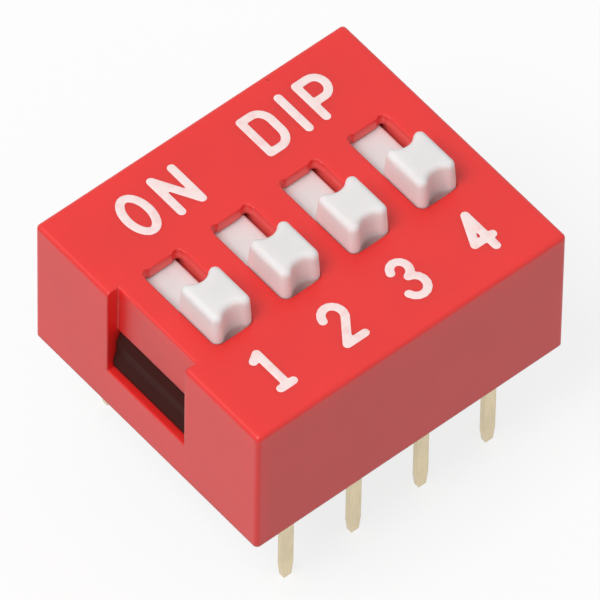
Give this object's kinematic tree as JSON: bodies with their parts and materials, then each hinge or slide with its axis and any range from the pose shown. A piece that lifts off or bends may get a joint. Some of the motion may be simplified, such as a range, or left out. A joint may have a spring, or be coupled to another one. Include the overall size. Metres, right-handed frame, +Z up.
{
  "type": "dip switch",
  "caption": "Through-hole slide DIP switch: red clip-on cover with white hourglass knobs in slots, black latched base, gold-plated blade legs in two rows.",
  "frame": {"origin": "centre of the underside of the body, on the plane where it seats on a circuit board", "axes": "+X along the positions from 1 to 4, +Y from the numbered side to the ON side, +Z up, out of the board and through the knobs"},
  "size_m": [0.0116, 0.01, 0.0101],
  "materials": {
    "cover_red": "moulded, fine satin",
    "base_black": "moulded, satin",
    "slider_white": "moulded, smooth satin",
    "gold_plate": "thin gold plate, satin",
    "resin": "cast, glossy",
    "legend_ink": "printed, matte"
  },
  "bodies": {
    "housing": {"cover": "cover_red", "base": "base_black", "sealing_resin": "resin", "terminal_front_1": "gold_plate", "terminal_front_2": "gold_plate", "terminal_front_3": "gold_plate", "terminal_front_4": "gold_plate", "terminal_back_1": "gold_plate", "terminal_back_2": "gold_plate", "terminal_back_3": "gold_plate", "terminal_back_4": "gold_plate"},
    "slider_1": {"slider_1": "slider_white", "moving_contact_1": "gold_plate"},
    "slider_2": {"slider_2": "slider_white", "moving_contact_2": "gold_plate"},
    "slider_3": {"slider_3": "slider_white", "moving_contact_3": "gold_plate"},
    "slider_4": {"slider_4": "slider_white", "moving_contact_4": "gold_plate"}
  },
  "joints": [
    {"name": "slider_1_travel", "type": "slide", "parent": "housing", "child": "slider_1", "axis": [0, 1, 0], "range_m": [0, 0.0015]},
    {"name": "slider_2_travel", "type": "slide", "parent": "housing", "child": "slider_2", "axis": [0, 1, 0], "range_m": [0, 0.0015]},
    {"name": "slider_3_travel", "type": "slide", "parent": "housing", "child": "slider_3", "axis": [0, 1, 0], "range_m": [0, 0.0015]},
    {"name": "slider_4_travel", "type": "slide", "parent": "housing", "child": "slider_4", "axis": [0, 1, 0], "range_m": [0, 0.0015]}
  ]
}
